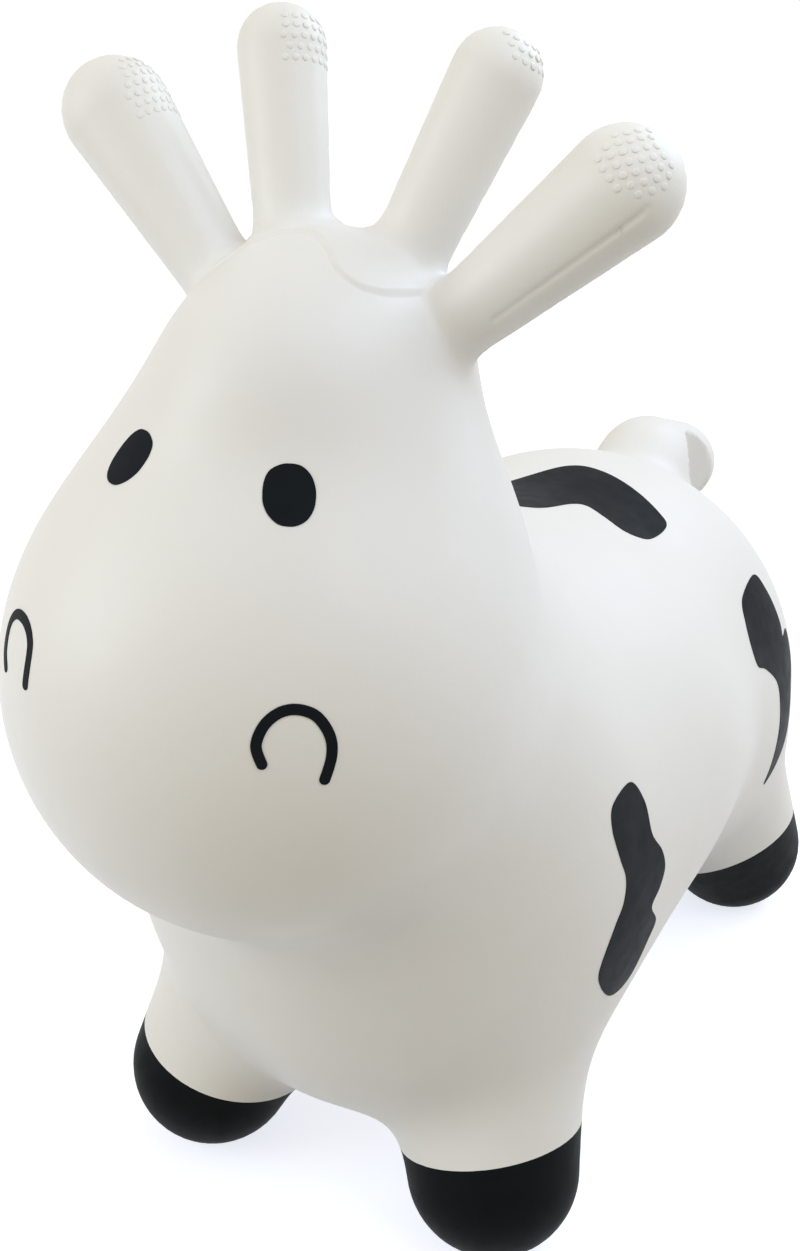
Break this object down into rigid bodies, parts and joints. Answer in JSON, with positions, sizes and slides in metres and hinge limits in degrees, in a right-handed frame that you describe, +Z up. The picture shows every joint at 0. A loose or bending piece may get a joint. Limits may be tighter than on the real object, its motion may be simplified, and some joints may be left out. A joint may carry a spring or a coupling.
{
  "type": "inflatable ride-on cow",
  "caption": "Inflatable bouncing cow for a toddler to sit on: hollow air-filled skin, horns and ears as hand grips, curled tail, black hooves and patches, air valve in the belly.",
  "frame": {"origin": "on the floor, under the middle of the cow's length and width", "axes": "+Z up, -Y the way the cow looks, +X its left side"},
  "size_m": [0.2418, 0.5725, 0.5],
  "materials": {
    "white_skin": "satin",
    "cream_skin": "satin",
    "black_skin": "satin",
    "black_paint": "satin",
    "stopper": "satin"
  },
  "bodies": {
    "body": {"torso_skin": "white_skin", "head_skin": "white_skin", "leg_front_left": "white_skin", "leg_front_right": "white_skin", "leg_rear_left": "white_skin", "leg_rear_right": "white_skin", "valve_seat": "white_skin", "forelock": "white_skin", "eye_left": "black_paint", "eye_right": "black_paint", "nostril_left": "black_paint", "nostril_right": "black_paint", "spot_back": "black_paint", "spot_shoulder_left": "black_paint", "spot_shoulder_right": "black_paint", "spot_rump_left": "black_paint", "spot_rump_right": "black_paint"},
    "horn_left": {"horn_left": "cream_skin"},
    "horn_right": {"horn_right": "cream_skin"},
    "ear_left": {"ear_left": "cream_skin"},
    "ear_right": {"ear_right": "cream_skin"},
    "tail": {"tail": "white_skin"},
    "hoof_front_left": {"hoof_front_left": "black_skin"},
    "hoof_front_right": {"hoof_front_right": "black_skin"},
    "hoof_rear_left": {"hoof_rear_left": "black_skin"},
    "hoof_rear_right": {"hoof_rear_right": "black_skin"},
    "stopper": {"valve_stopper": "stopper"}
  },
  "joints": [
    {"name": "horn_left_bend", "type": "hinge", "parent": "body", "child": "horn_left", "pos_m": [0.02459, -0.14406, 0.43634], "axis": [1, 0, 0], "range_deg": [-18, 18], "stiffness_Nm_per_rad": 1},
    {"name": "horn_right_bend", "type": "hinge", "parent": "body", "child": "horn_right", "pos_m": [-0.02459, -0.14406, 0.43634], "axis": [1, 0, 0], "range_deg": [-18, 18], "stiffness_Nm_per_rad": 1},
    {"name": "ear_left_bend", "type": "hinge", "parent": "body", "child": "ear_left", "pos_m": [0.0505, -0.15519, 0.41529], "axis": [1, 0, 0], "range_deg": [-18, 18], "stiffness_Nm_per_rad": 1},
    {"name": "ear_right_bend", "type": "hinge", "parent": "body", "child": "ear_right", "pos_m": [-0.0505, -0.15519, 0.41529], "axis": [1, 0, 0], "range_deg": [-18, 18], "stiffness_Nm_per_rad": 1},
    {"name": "tail_bend", "type": "hinge", "parent": "body", "child": "tail", "pos_m": [0, 0.21742, 0.2292], "axis": [1, 0, 0], "range_deg": [-12, 12], "stiffness_Nm_per_rad": 1.5},
    {"name": "hoof_front_left_bounce", "type": "slide", "parent": "body", "child": "hoof_front_left", "axis": [0, 0, 1], "range_m": [0, 0.01], "stiffness_N_per_m": 4000, "springref_m": -0.002, "deforming": ["leg_front_left"]},
    {"name": "hoof_front_right_bounce", "type": "slide", "parent": "body", "child": "hoof_front_right", "axis": [0, 0, 1], "range_m": [0, 0.01], "stiffness_N_per_m": 4000, "springref_m": -0.002, "deforming": ["leg_front_right"]},
    {"name": "hoof_rear_left_bounce", "type": "slide", "parent": "body", "child": "hoof_rear_left", "axis": [0, 0, 1], "range_m": [0, 0.01], "stiffness_N_per_m": 4000, "springref_m": -0.002, "deforming": ["leg_rear_left"]},
    {"name": "hoof_rear_right_bounce", "type": "slide", "parent": "body", "child": "hoof_rear_right", "axis": [0, 0, 1], "range_m": [0, 0.01], "stiffness_N_per_m": 4000, "springref_m": -0.002, "deforming": ["leg_rear_right"]},
    {"name": "stopper_pull", "type": "slide", "parent": "body", "child": "stopper", "axis": [0, 0.0172, -0.9999], "range_m": [0, 0.024]}
  ]
}
